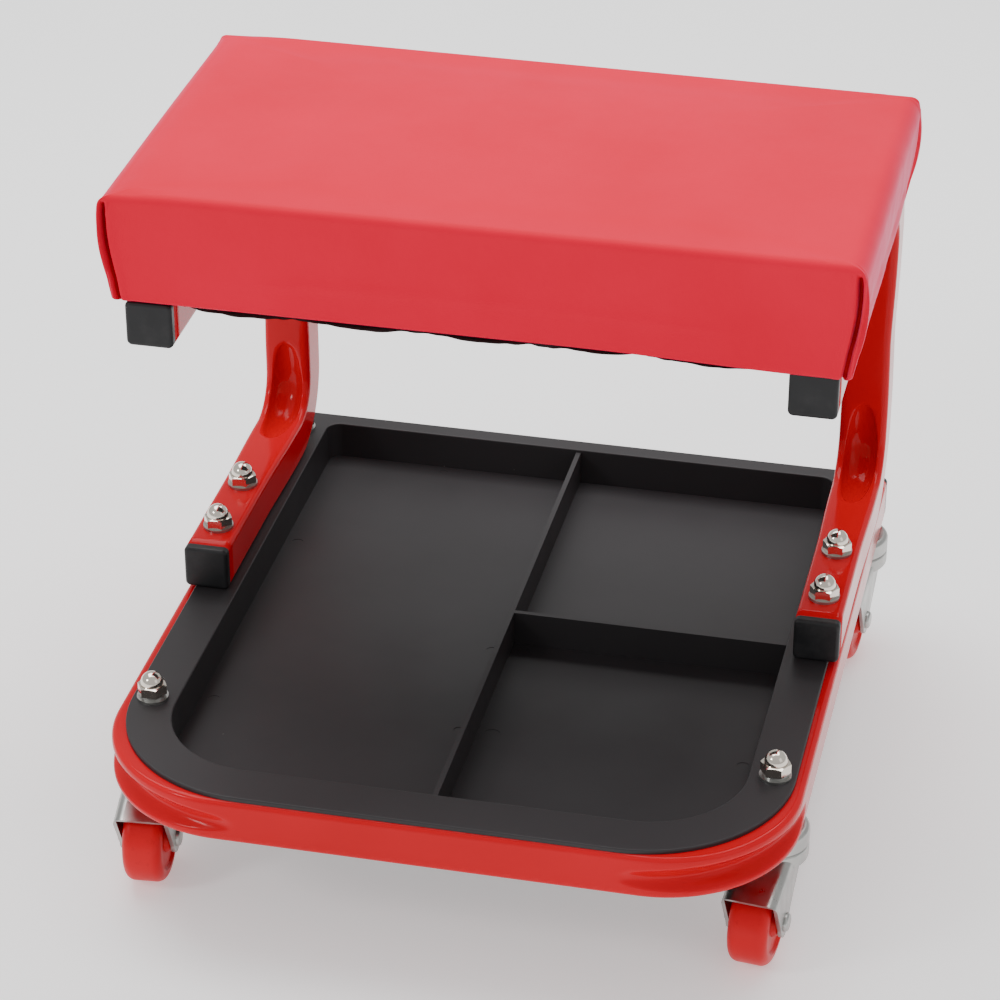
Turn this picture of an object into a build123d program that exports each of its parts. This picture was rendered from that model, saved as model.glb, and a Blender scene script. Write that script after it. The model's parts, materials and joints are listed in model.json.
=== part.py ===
from build123d import *
from math import cos, radians, sin
import os

# Rolling workshop seat with a tool tray.
# Frame: millimetres, +X to the sitter's right, +Y to the open rear of the base, +Z up.
# The origin lies on the floor, under the middle of the base.

# ---- driving dimensions -------------------------------------------------------------------
TUBE = 25.0                  # square tube, outside
TUBE_WALL = 1.5
TUBE_CORNER = 3.0            # outside radius of the tube's long edges
CAP_HEAD = 5.0               # visible thickness of a tube plug
PLUG_DEPTH = 14.0            # length of a plug inside its tube
PLUG_WALL = 2.0

BASE_WIDTH = 368.0           # over the outsides of the two side tubes
BASE_DEPTH = 408.0           # front face to the rear plugs
BASE_BOTTOM = 70.5           # underside of the base tube above the floor
BASE_BEND = 60.5             # centre-line radius of the two front corners

LEG_BEND = 33.5              # centre-line radius of the two bends in a leg
LEG_REAR = 188.5             # rear face of the upright part of a leg
LEG_TOP = 312.0              # top face of the upper arm
LOWER_ARM_FRONT = -9.0       # face of the lower cap
UPPER_ARM_FRONT = -82.0      # face of the upper cap

FLANGE = 2.5                 # tray flange, which lies on the base tube
TRAY_WALL = 2.0
TRAY_DEPTH = 21.5            # rim to the top of the tray floor
TRAY_HALF_WIDTH = 178.5
TRAY_FRONT = -202.0
TRAY_REAR = 202.0
TRAY_CORNER = 80.0           # front corners of the flange
TRAY_REAR_CORNER = 8.0
BASIN_HALF_WIDTH = 154.0     # inside the basin at the rim
BASIN_FRONT = -176.3
BASIN_REAR = 191.0
BASIN_CORNER = 53.0
BASIN_DRAFT = 1.2            # how far the walls lean in over the depth
DIVIDER = 2.8                # thickness of the two dividers
DIVIDER_DROP = 1.7           # how far they stop below the rim
CROSS_DIVIDER_Y = 7.5
LIP_ROUND = 0.8              # where the flange turns down into the basin
MARK_DEPTH = 0.2             # shallow discs that the mould's ejector pins leave on the floor
EJECTOR_MARKS = (            # x, y, radius
    (8.6, -3.0, 4.5),
    (9.6, -85.0, 4.5),
    (-9.0, -3.9, 3.0),
    (-8.5, -85.2, 3.0),
    (-81.0, 182.8, 3.0),
    (145.5, -85.2, 3.5),
    (-145.5, -85.2, 3.5),
    (-145.5, 85.0, 3.5),
)

SEAT_TOP = 374.0
SEAT_MIDDLE_Y = 25.0
SEAT_WIDTH = 390.0           # across the sharp top edge, before it is rounded
SEAT_DEPTH = 221.0
SEAT_TAPER = 5.4             # degrees that the seat's walls lean
SEAT_EDGE = 10.0             # radius round the top edge
SEAT_CORNER = 9.0
COVER = 1.2                  # vinyl
HEM = 20.0                   # width of the vinyl turned in under the board
DUST_COVER = 0.8
BOARD = 9.0
BOARD_CORNER = 16.0          # leaves room for the folded vinyl

LEG_BOLT_Y = (17.7, 66.5)
SEAT_BOLT_Y = (-38.0, 88.0)
M8 = 4.0                     # shank radii
M6 = 3.0
BOLT_GAP = 0.3               # clearance round a shank in its hole

TEE_BARREL = 4.0             # tee nuts let into the seat board
TEE_FLANGE = 9.0
TEE_FLANGE_THICK = 1.3

NUT_FLATS = 14.0             # acorn nut across the flats
NUT_HEX = 5.6
DOME = 6.1
DOME_NECK = 0.6
WASHER = 8.5
WASHER_THICK = 1.5
LOCK_WASHER = 6.9
LOCK_WASHER_THICK = 1.8

CASTOR_PLACES = {            # stem x, stem y, and how far the castor has swung round
    "front_left": (-167.5, -121.5, 5.0),
    "front_right": (167.5, -121.5, -6.0),
    "rear_left": (-169.0, 181.0, 8.0),
    "rear_right": (169.0, 181.0, -5.0),
}
WHEEL = 25.0                 # wheel radius
WHEEL_WIDTH = 21.6
HUB = 8.0
HUB_WIDTH = 25.4
WEB_WIDTH = 18.6
TREAD_INNER = 18.5           # inside radius of the wheel's rim
TREAD_EDGE = 5.0
TRAIL = 24.0                 # axle behind the stem
AXLE = 3.0
AXLE_HEAD = 5.2
AXLE_HEAD_HEIGHT = 2.2
RUNNING_GAP = 0.06           # radial clearance of the wheel and of the swivel
FORK_PLATE = 2.0
FORK_HALF = 15.0             # half the fork's outside width
FORK_EDGE = 6.0              # outside radius along the fork's shoulders
PAN = 19.5                   # radius of the fork's round top
PAN_BOTTOM = 50.0
PAN_TOP = 59.4
RACE = 17.2                  # radius of the raised race inside the bearing cap
RACE_TOP = 63.0
BEARING_CAP_BOTTOM = 59.9
BEARING_CAP_WALL = 1.5
SEAL = 1.0
SEAL_RADIUS = 9.0
NECK = 5.0                   # stem radius inside the swivel
STEM_FOOT = 8.0
STEM_FOOT_THICK = 2.6
COLLAR = 7.5
BALL = 2.25
BALL_CIRCLE = 14.3
BALLS = 14

# ---- places that follow -------------------------------------------------------------------
HALF = TUBE / 2
BASE_X = BASE_WIDTH / 2 - HALF
BASE_FRONT = -BASE_DEPTH / 2
BASE_TUBE_REAR = BASE_DEPTH / 2 - CAP_HEAD
BASE_TOP = BASE_BOTTOM + TUBE
BASE_MIDDLE_Z = BASE_BOTTOM + HALF
RIM = BASE_TOP + FLANGE
LOWER_ARM_TOP = RIM + TUBE
LOWER_ARM_Z = RIM + HALF
UPPER_ARM_Z = LEG_TOP - HALF
LEG_UPRIGHT_Y = LEG_REAR - HALF
TRAY_MIDDLE_Y = (TRAY_FRONT + TRAY_REAR) / 2
FLOOR_TOP = RIM - TRAY_DEPTH
COVER_BOTTOM = LEG_TOP + DUST_COVER
BOARD_BOTTOM = COVER_BOTTOM + COVER
BOARD_TOP = BOARD_BOTTOM + BOARD
SEAT_LEAN = (SEAT_TOP - COVER_BOTTOM) * sin(radians(SEAT_TAPER)) / cos(radians(SEAT_TAPER))
SEAT_BOTTOM_WIDTH = SEAT_WIDTH - 2 * SEAT_LEAN
SEAT_BOTTOM_DEPTH = SEAT_DEPTH - 2 * SEAT_LEAN
SIDES = {"left": -1, "right": 1}


def save(name, *solids):
    """Write one node. Separate solids stay separate."""
    shape = solids[0] if len(solids) == 1 else Compound(children=list(solids))
    export_step(shape, f"parts/{name}.step")


def drum(radius, low, high, x=0.0, y=0.0):
    """An upright cylinder between two heights."""
    return Pos(x, y, (low + high) / 2) * Cylinder(radius, high - low)


def ring(outer, inner, low, high, x=0.0, y=0.0):
    return drum(outer, low, high, x, y) - drum(inner, low - 1, high + 1, x, y)


def cut_holes(solid, radius, places, low, high):
    """Drill the same upright hole at each place."""
    for x, y in places:
        solid -= drum(radius, low, high, x, y)
    return solid


def leg_bolt_places(side):
    return [(side * BASE_X, y) for y in LEG_BOLT_Y]


def seat_bolt_places(side):
    return [(side * BASE_X, y) for y in SEAT_BOLT_Y]


def castor_places():
    return [(x, y) for x, y, swing in CASTOR_PLACES.values()]


# ---- tubes and their plugs ----------------------------------------------------------------
def square_tube(points, bend):
    """Square tube bent along a run of straight lines."""
    path = FilletPolyline(*points, radius=bend)
    start = Plane(origin=path @ 0, z_dir=path % 0, x_dir=(1, 0, 0) if abs((path % 0).X) < 0.5 else (0, 1, 0))
    bore = TUBE - 2 * TUBE_WALL
    outside = sweep(start * RectangleRounded(TUBE, TUBE, TUBE_CORNER), path)
    inside = sweep(start * RectangleRounded(bore, bore, TUBE_CORNER - TUBE_WALL), path)
    return outside - inside


def base_frame():
    rear = BASE_TUBE_REAR
    front = BASE_FRONT + HALF
    corners = [(-BASE_X, rear), (-BASE_X, front), (BASE_X, front), (BASE_X, rear)]
    tube = square_tube([(x, y, BASE_MIDDLE_Z) for x, y in corners], BASE_BEND)
    places = castor_places() + leg_bolt_places(-1) + leg_bolt_places(1)
    return cut_holes(tube, M8 + BOLT_GAP, places, BASE_BOTTOM - 1, BASE_TOP + 1)


def leg(side):
    """C-shaped leg, open to the front. Both arms carry bolts."""
    x = side * BASE_X
    corners = [
        (LOWER_ARM_FRONT + CAP_HEAD, LOWER_ARM_Z),
        (LEG_UPRIGHT_Y, LOWER_ARM_Z),
        (LEG_UPRIGHT_Y, UPPER_ARM_Z),
        (UPPER_ARM_FRONT + CAP_HEAD, UPPER_ARM_Z),
    ]
    tube = square_tube([(x, y, z) for y, z in corners], LEG_BEND)
    tube = cut_holes(tube, M8 + BOLT_GAP, leg_bolt_places(side), RIM - 1, LOWER_ARM_TOP + 1)
    low = LEG_TOP - TUBE - 1
    return cut_holes(tube, M6 + BOLT_GAP, seat_bolt_places(side), low, LEG_TOP + 1)


def tube_plug():
    """Plug that faces -Y, with the back of its head at the origin."""
    head = extrude(Plane.XZ * RectangleRounded(TUBE, TUBE, TUBE_CORNER), CAP_HEAD)
    head = fillet(head.faces().sort_by(Axis.Y)[0].edges(), 1.9)
    wide = TUBE - 2 * TUBE_WALL - 0.1
    inner = wide - 2 * PLUG_WALL
    insert = extrude(Plane.XZ * RectangleRounded(wide, wide, TUBE_CORNER - TUBE_WALL), -PLUG_DEPTH)
    hollow = extrude(Plane.XZ * Rectangle(inner, inner), -PLUG_DEPTH)
    return head + (insert - hollow)


# ---- tool tray ----------------------------------------------------------------------------
def tray_outline(half_width, front, rear, front_corner, rear_corner):
    """Rectangle with two large front corners and two small rear ones."""
    middle = (front + rear) / 2
    sheet = Pos(0, middle) * Rectangle(2 * half_width, rear - front)
    corners = sheet.vertices().group_by(Axis.Y)
    sheet = fillet(corners[-1], rear_corner)
    return fillet(sheet.vertices().group_by(Axis.Y)[0], front_corner)


def basin(inset, top, bottom, lean):
    """The tapered space of the basin, made smaller by inset and by lean at the bottom."""
    sections = []
    for z, shrink in ((top, inset), (bottom, inset + lean)):
        outline = tray_outline(
            BASIN_HALF_WIDTH - shrink,
            BASIN_FRONT + shrink,
            BASIN_REAR - shrink,
            BASIN_CORNER - shrink,
            max(TRAY_REAR_CORNER - shrink, 1.5),
        )
        sections.append(Pos(0, 0, z) * outline)
    return loft(sections)


def lip_edges(tray):
    """The edges where the flange turns down into the basin."""
    found = []
    for edge in tray.edges().filter_by_position(Axis.Z, RIM - 0.01, RIM + 0.01):
        middle = edge.position_at(0.5)
        within = BASIN_FRONT - 1 < middle.Y < BASIN_REAR + 1
        if within and abs(middle.X) < BASIN_HALF_WIDTH + 1:
            found.append(edge)
    return found


def tool_tray():
    sheet = tray_outline(TRAY_HALF_WIDTH, TRAY_FRONT, TRAY_REAR, TRAY_CORNER, TRAY_REAR_CORNER)
    flange = Pos(0, 0, BASE_TOP) * extrude(sheet, FLANGE)
    flange = fillet(flange.faces().sort_by(Axis.Z)[-1].edges(), 0.9)
    tray = flange + basin(-TRAY_WALL, RIM - 1, FLOOR_TOP - TRAY_WALL, BASIN_DRAFT)
    tray -= basin(0.0, RIM, FLOOR_TOP, BASIN_DRAFT)
    tray = fillet(lip_edges(tray), LIP_ROUND)
    high = RIM - DIVIDER_DROP
    height = high - FLOOR_TOP + 0.5
    middle_z = high - height / 2
    length = BASIN_REAR - BASIN_FRONT
    main = Pos(0, (BASIN_REAR + BASIN_FRONT) / 2, middle_z) * Box(DIVIDER, length, height)
    cross_x = BASIN_HALF_WIDTH / 2
    cross = Pos(cross_x, CROSS_DIVIDER_Y, middle_z) * Box(BASIN_HALF_WIDTH, DIVIDER, height)
    tray += main + cross
    for x, y, radius in EJECTOR_MARKS:
        tray -= Pos(x, y, FLOOR_TOP) * Cylinder(radius, 2 * MARK_DEPTH)
    places = castor_places() + leg_bolt_places(-1) + leg_bolt_places(1)
    return cut_holes(tray, M8 + BOLT_GAP, places, BASE_TOP - 1, RIM + 1)


# ---- seat ---------------------------------------------------------------------------------
def seat_block(inset, bottom, top, edge):
    """Box that widens upwards, with a rounded top edge, inset from the outside of the seat."""
    lean = (bottom - COVER_BOTTOM) / (SEAT_TOP - COVER_BOTTOM) * SEAT_LEAN
    width = SEAT_BOTTOM_WIDTH + 2 * (lean - inset)
    depth = SEAT_BOTTOM_DEPTH + 2 * (lean - inset)
    sheet = RectangleRounded(width, depth, SEAT_CORNER - inset)
    block = extrude(Pos(0, SEAT_MIDDLE_Y, bottom) * sheet, top - bottom, taper=-SEAT_TAPER)
    if edge:
        block = fillet(block.faces().sort_by(Axis.Z)[-1].edges(), edge)
    return block


def seat_inside():
    """The space inside the vinyl, which the board and the foam fill."""
    return seat_block(COVER, BOARD_BOTTOM, SEAT_TOP - COVER, SEAT_EDGE - COVER)


def seat_layer(low, high):
    """The part of that space between two heights."""
    slab = Box(2 * SEAT_WIDTH, 2 * SEAT_DEPTH, high - low)
    return seat_inside() & (Pos(0, 0, (low + high) / 2) * slab)


def seat_cover():
    """Vinyl over the foam, turned in under the board and open in the middle underneath."""
    outside = seat_block(0.0, COVER_BOTTOM, SEAT_TOP, SEAT_EDGE)
    wide = SEAT_BOTTOM_WIDTH - 2 * HEM
    deep = SEAT_BOTTOM_DEPTH - 2 * HEM
    opening = Pos(0, SEAT_MIDDLE_Y, COVER_BOTTOM) * Box(wide, deep, 4 * COVER)
    cover = outside - seat_inside() - opening
    places = seat_bolt_places(-1) + seat_bolt_places(1)
    return cut_holes(cover, TEE_BARREL, places, COVER_BOTTOM - 1, BOARD_BOTTOM + 1)


def seat_board():
    """Straight-sided board with its corners rounded off to make room for the folded vinyl."""
    sheet = RectangleRounded(SEAT_BOTTOM_WIDTH - 2 * COVER, SEAT_BOTTOM_DEPTH - 2 * COVER, BOARD_CORNER)
    board = Pos(0, SEAT_MIDDLE_Y, BOARD_BOTTOM) * extrude(sheet, BOARD_TOP - BOARD_BOTTOM)
    for side in SIDES.values():
        places = seat_bolt_places(side)
        board = cut_holes(board, TEE_BARREL, places, BOARD_BOTTOM - 1, BOARD_TOP + 1)
        board = cut_holes(board, TEE_FLANGE, places, BOARD_TOP - TEE_FLANGE_THICK - 0.1, BOARD_TOP + 1)
    return board


def seat_foam():
    return seat_layer(BOARD_TOP, SEAT_TOP)


def seat_dust_cover():
    sheet = Rectangle(SEAT_BOTTOM_WIDTH - 10, SEAT_BOTTOM_DEPTH - 1)
    cover = extrude(Pos(0, SEAT_MIDDLE_Y, LEG_TOP) * sheet, DUST_COVER)
    for side in SIDES.values():
        cover = cut_holes(cover, TEE_BARREL, seat_bolt_places(side), LEG_TOP - 1, COVER_BOTTOM + 1)
    return cover


def tee_nut(x, y):
    top = BOARD_TOP - 0.1
    barrel = ring(TEE_BARREL - 0.05, M6 + 0.02, BOARD_BOTTOM + 1, top, x, y)
    return barrel + ring(TEE_FLANGE - 0.05, M6 + 0.02, top - TEE_FLANGE_THICK, top, x, y)


# ---- bolts, washers and nuts --------------------------------------------------------------
def hexagon(flats, low, high, x, y):
    """Hexagonal prism with its upper corners turned off."""
    block = extrude(Pos(x, y, low) * RegularPolygon(flats / 2, 6, major_radius=False), high - low)
    reach = flats * 0.62
    rise = (reach - flats * 0.47) * 0.5
    cone = Pos(x, y, high - rise / 2) * Cone(reach, flats * 0.47, rise)
    return block & (cone + drum(reach, low, high - rise, x, y))


def hex_bolt(radius, flats, head_top, tip, x, y):
    head = Pos(x, y, head_top) * Rot(180, 0, 0) * hexagon(flats, 0, radius * 1.3, 0, 0)
    return head + drum(radius, head_top, tip, x, y)


def acorn_nut(x, y, seat, stem_top):
    """Dome nut, bored to take the end of its bolt."""
    neck = seat + NUT_HEX + DOME_NECK
    nut = hexagon(NUT_FLATS, seat, seat + NUT_HEX, x, y)
    nut += drum(DOME, seat + NUT_HEX - 0.5, neck, x, y)
    nut += Pos(x, y, neck) * Sphere(DOME)
    return nut - drum(M8 + 0.02, seat - 1, stem_top + 0.3, x, y)


# ---- castors ------------------------------------------------------------------------------
def castor_stem(stem_top):
    """Riveted foot, neck and collar inside the swivel, and the threaded end above."""
    plate_bottom = RACE_TOP - FORK_PLATE
    foot_top = plate_bottom - 0.25
    cap_inside = BASE_BOTTOM - SEAL - BEARING_CAP_WALL
    stem = drum(STEM_FOOT, foot_top - STEM_FOOT_THICK, foot_top)
    stem = fillet(stem.faces().sort_by(Axis.Z)[0].edges(), 1.2)
    stem += drum(NECK, foot_top, cap_inside)
    stem += drum(COLLAR, RACE_TOP + 0.4, cap_inside)
    return stem + drum(M8, cap_inside, stem_top)


def bearing_cap():
    top = BASE_BOTTOM - SEAL
    shell = drum(PAN, BEARING_CAP_BOTTOM, top)
    shell = fillet(shell.faces().sort_by(Axis.Z)[-1].edges(), 3.0)
    hollow = drum(PAN - BEARING_CAP_WALL, BEARING_CAP_BOTTOM - 1, top - BEARING_CAP_WALL)
    hollow = fillet(hollow.faces().sort_by(Axis.Z)[-1].edges(), 1.5)
    return shell - hollow - drum(M8 + 0.02, BEARING_CAP_BOTTOM, top + 1)


def bearing_balls():
    middle = RACE_TOP + BALL + 0.05
    turn = 360.0 / BALLS
    spots = [radians(turn * number) for number in range(BALLS)]
    return [Pos(BALL_CIRCLE * cos(a), BALL_CIRCLE * sin(a), middle) * Sphere(BALL) for a in spots]


def fork_profile():
    """Side view of the fork, as (y, z): a sloping roof, and legs that narrow to the axle."""
    roof = [(-46.0, 49.0), (-24.0, 55.4), (-8.0, PAN_TOP), (11.0, PAN_TOP), (12.5, PAN_BOTTOM + 1)]
    heel = (4.0, PAN_BOTTOM - 3)
    eye = 8.2
    rear_side = (-TRAIL + eye, WHEEL + 1.5)
    front_side = (-TRAIL - eye, WHEEL - 1.0)
    foot = (-TRAIL, WHEEL - eye - 0.2)
    legs = Polyline(*roof, heel, rear_side)
    toe = ThreePointArc(rear_side, foot, front_side)
    front = Line(front_side, roof[0])
    return make_face(Plane.YZ * Curve(children=[legs, toe, front]))


def castor_fork():
    """Pressed fork: two legs under a sloping roof, with the round pan of the swivel on top."""
    block = extrude(fork_profile(), FORK_HALF, both=True)
    shoulders = block.edges().filter_by(lambda e: abs((e % 0.5).X) < 0.01)
    shoulders = shoulders.filter_by(lambda e: (e @ 0.5).Z > PAN_BOTTOM and (e @ 0.5).Y < -12)
    block = fillet(shoulders, FORK_EDGE)
    inner = FORK_HALF - FORK_PLATE
    pan_inside = PAN_TOP - FORK_PLATE
    under = [(-60.0, 42.9), (-24.0, 53.3), (-8.0, pan_inside), (30.0, pan_inside), (30.0, 0), (-60.0, 0)]
    fork = block - extrude(make_face(Plane.YZ * Polyline(*under, close=True)), inner, both=True)
    pan = drum(PAN, PAN_BOTTOM, PAN_TOP)
    pan = fillet(pan.edges().filter_by(GeomType.CIRCLE), 2.0)
    pan += drum(RACE, PAN_TOP - 2, RACE_TOP)
    pan -= drum(PAN - FORK_PLATE, PAN_BOTTOM - 1, pan_inside)
    pan -= Pos(0, -PAN, 0) * Box(2 * inner, 2 * PAN, 2 * (pan_inside - 4.0))
    fork += pan
    fork -= drum(RACE - FORK_PLATE, pan_inside - 0.1, RACE_TOP - FORK_PLATE)
    fork -= drum(NECK + RUNNING_GAP, PAN_BOTTOM, RACE_TOP + 1)
    axle_hole = Pos(0, -TRAIL, WHEEL) * Rot(0, 90, 0) * Cylinder(AXLE + 0.01, 4 * FORK_HALF)
    return fork - axle_hole


def castor_wheel():
    """Solid wheel with a rounded tread and a recess on both faces."""
    half = WHEEL_WIDTH / 2
    web = WEB_WIDTH / 2
    hub = HUB_WIDTH / 2
    bore = AXLE + RUNNING_GAP
    outline = [
        (0, bore), (hub, bore), (hub, HUB - 1), (hub - 1, HUB), (web, HUB + 1),
        (web, TREAD_INNER - 1.5), (half, TREAD_INNER), (half, WHEEL), (0, WHEEL),
    ]
    section = make_face(Plane.XY * Polyline(*outline, close=True))
    edge = [v for v in section.vertices() if abs(v.X - half) < 0.01 and v.Y > WHEEL - 0.01]
    section = fillet(edge, TREAD_EDGE)
    section += mirror(section, Plane.YZ)
    return Pos(0, -TRAIL, WHEEL) * revolve(section, Axis.X)


def castor_axle():
    """Rivet through both legs of the fork, with a domed head on each end."""
    rivet = Rot(0, 90, 0) * Cylinder(AXLE, 2 * FORK_HALF)
    for end in (-1, 1):
        head = Rot(0, 90 * end, 0) * Pos(0, 0, FORK_HALF + AXLE_HEAD_HEIGHT / 2)
        dome = head * Cylinder(AXLE_HEAD, AXLE_HEAD_HEIGHT)
        outer = dome.edges().filter_by(GeomType.CIRCLE).sort_by(Axis.X)
        dome = fillet(outer[-1 if end > 0 else 0], AXLE_HEAD_HEIGHT - 0.3)
        rivet += dome
    return Pos(0, -TRAIL, WHEEL) * rivet


# ---- the whole object ---------------------------------------------------------------------
os.makedirs("parts", exist_ok=True)

save("base_frame", base_frame())
save("tool_tray", tool_tray())
for side_name, side in SIDES.items():
    x = side * BASE_X
    save(f"{side_name}_leg", leg(side))
    lower = Pos(x, LOWER_ARM_FRONT + CAP_HEAD, LOWER_ARM_Z)
    save(f"{side_name}_leg_foot_cap", lower * tube_plug())
    upper = Pos(x, UPPER_ARM_FRONT + CAP_HEAD, UPPER_ARM_Z)
    save(f"{side_name}_leg_seat_cap", upper * tube_plug())
    rear = Pos(x, BASE_TUBE_REAR, BASE_MIDDLE_Z) * Rot(0, 0, 180)
    save(f"base_plug_{side_name}", rear * tube_plug())

save("seat_cover", seat_cover())
save("seat_foam", seat_foam())
save("seat_board", seat_board())
save("seat_dust_cover", seat_dust_cover())

all_leg_bolts = leg_bolt_places(-1) + leg_bolt_places(1)
all_seat_bolts = seat_bolt_places(-1) + seat_bolt_places(1)
head_top = BASE_BOTTOM - WASHER_THICK
leg_nut_seat = LOWER_ARM_TOP + WASHER_THICK
leg_bolt_tip = leg_nut_seat + NUT_HEX + 2
save("leg_bolts", *[hex_bolt(M8, 13.0, head_top, leg_bolt_tip, x, y) for x, y in all_leg_bolts])
lower_washers = [ring(WASHER, M8 + 0.05, head_top, BASE_BOTTOM, x, y) for x, y in all_leg_bolts]
save("leg_bolt_lower_washers", *lower_washers)
upper_washers = [ring(WASHER, M8 + 0.05, LOWER_ARM_TOP, leg_nut_seat, x, y) for x, y in all_leg_bolts]
save("leg_bolt_washers", *upper_washers)
save("leg_acorn_nuts", *[acorn_nut(x, y, leg_nut_seat, leg_bolt_tip) for x, y in all_leg_bolts])

arm_under = LEG_TOP - TUBE
seat_head_top = arm_under - 1.2
seat_bolt_tip = BOARD_TOP - 0.6
save("seat_bolts", *[hex_bolt(M6, 10.0, seat_head_top, seat_bolt_tip, x, y) for x, y in all_seat_bolts])
save("seat_bolt_washers", *[ring(7.0, M6 + 0.05, seat_head_top, arm_under, x, y) for x, y in all_seat_bolts])
save("seat_tee_nuts", *[tee_nut(x, y) for x, y in all_seat_bolts])

stems = castor_places()
lock_seat = RIM + WASHER_THICK
castor_nut_seat = lock_seat + LOCK_WASHER_THICK
stem_top = castor_nut_seat + NUT_HEX + 2
save("castor_washers", *[ring(WASHER, M8 + 0.05, RIM, lock_seat, x, y) for x, y in stems])
locks = [ring(LOCK_WASHER, M8 + 0.05, lock_seat, castor_nut_seat, x, y) for x, y in stems]
save("castor_lock_washers", *locks)
save("castor_acorn_nuts", *[acorn_nut(x, y, castor_nut_seat, stem_top) for x, y in stems])

fork = castor_fork()
wheel = castor_wheel()
axle = castor_axle()
stem = castor_stem(stem_top)
cap = bearing_cap()
balls = bearing_balls()
seal = ring(SEAL_RADIUS, M8 + 0.05, BASE_BOTTOM - SEAL, BASE_BOTTOM)
for place, (x, y, swing) in CASTOR_PLACES.items():
    spot = Pos(x, y, 0) * Rot(0, 0, swing)
    save(f"{place}_castor_fork", spot * fork)
    save(f"{place}_castor_wheel", spot * wheel)
    save(f"{place}_castor_axle", spot * axle)
    save(f"{place}_castor_stem", spot * stem)
    save(f"{place}_castor_bearing_cap", spot * cap)
    save(f"{place}_castor_balls", *[spot * ball for ball in balls])
    save(f"{place}_castor_seal", spot * seal)
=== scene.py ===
import json
import random
from math import cos, exp, pi, radians, sin

import bmesh
import bpy
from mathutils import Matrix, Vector
from mathutils.bvhtree import BVHTree


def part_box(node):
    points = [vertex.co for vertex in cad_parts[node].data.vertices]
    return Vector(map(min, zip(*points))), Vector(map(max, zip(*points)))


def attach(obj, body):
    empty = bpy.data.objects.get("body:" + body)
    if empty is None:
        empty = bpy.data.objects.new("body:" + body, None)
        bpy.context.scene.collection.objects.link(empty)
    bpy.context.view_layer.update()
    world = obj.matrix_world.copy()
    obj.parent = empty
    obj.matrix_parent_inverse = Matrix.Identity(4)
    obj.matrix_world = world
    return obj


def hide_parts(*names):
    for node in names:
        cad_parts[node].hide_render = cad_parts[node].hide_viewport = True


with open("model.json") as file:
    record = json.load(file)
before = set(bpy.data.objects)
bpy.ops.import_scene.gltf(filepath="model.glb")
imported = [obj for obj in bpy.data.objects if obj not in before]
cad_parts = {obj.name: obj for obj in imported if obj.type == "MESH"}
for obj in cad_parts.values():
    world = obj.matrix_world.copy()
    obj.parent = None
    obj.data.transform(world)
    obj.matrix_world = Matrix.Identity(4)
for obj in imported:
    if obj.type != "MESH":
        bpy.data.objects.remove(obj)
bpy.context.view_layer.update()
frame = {"nodes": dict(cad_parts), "record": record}

MM = 0.001
STOOL = "seat_frame"                 # the body that everything but the castors rides on

# Square tube
TUBE_HALF = 12.5 * MM
TUBE_CORNER = 3.0 * MM
BASE_BEND = 60.5 * MM                # centre-line bend radii
LEG_BEND = 33.5 * MM
CAP_HEAD = 5.0 * MM
BULGE_REACH = 100 * MM               # from the middle of a bend, where its bulge has faded out
TROUGH_LOW = 0.22                    # the base tube folds in a little below its middle


# ---- small helpers ------------------------------------------------------------------------
def mesh_object(name, verts, faces, smooth=True):
    mesh = bpy.data.meshes.new(name)
    mesh.from_pydata([tuple(v) for v in verts], [], faces)
    mesh.validate()
    made = bmesh.new()
    made.from_mesh(mesh)
    bmesh.ops.recalc_face_normals(made, faces=made.faces)
    made.to_mesh(mesh)
    made.free()
    mesh.polygons.foreach_set("use_smooth", [smooth] * len(mesh.polygons))
    piece = bpy.data.objects.new(name, mesh)
    bpy.context.scene.collection.objects.link(piece)
    return piece


def finish_piece(piece, material, nodes=()):
    """Gives a piece of the stool its material and body, and hides the CAD nodes that it stands in for."""
    piece.data.materials.clear()
    piece.data.materials.append(material)
    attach(piece, STOOL)
    if nodes:
        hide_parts(*nodes)
    return piece


def smooth_step(t):
    t = min(max(t, 0.0), 1.0)
    return t * t * (3 - 2 * t)


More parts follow.
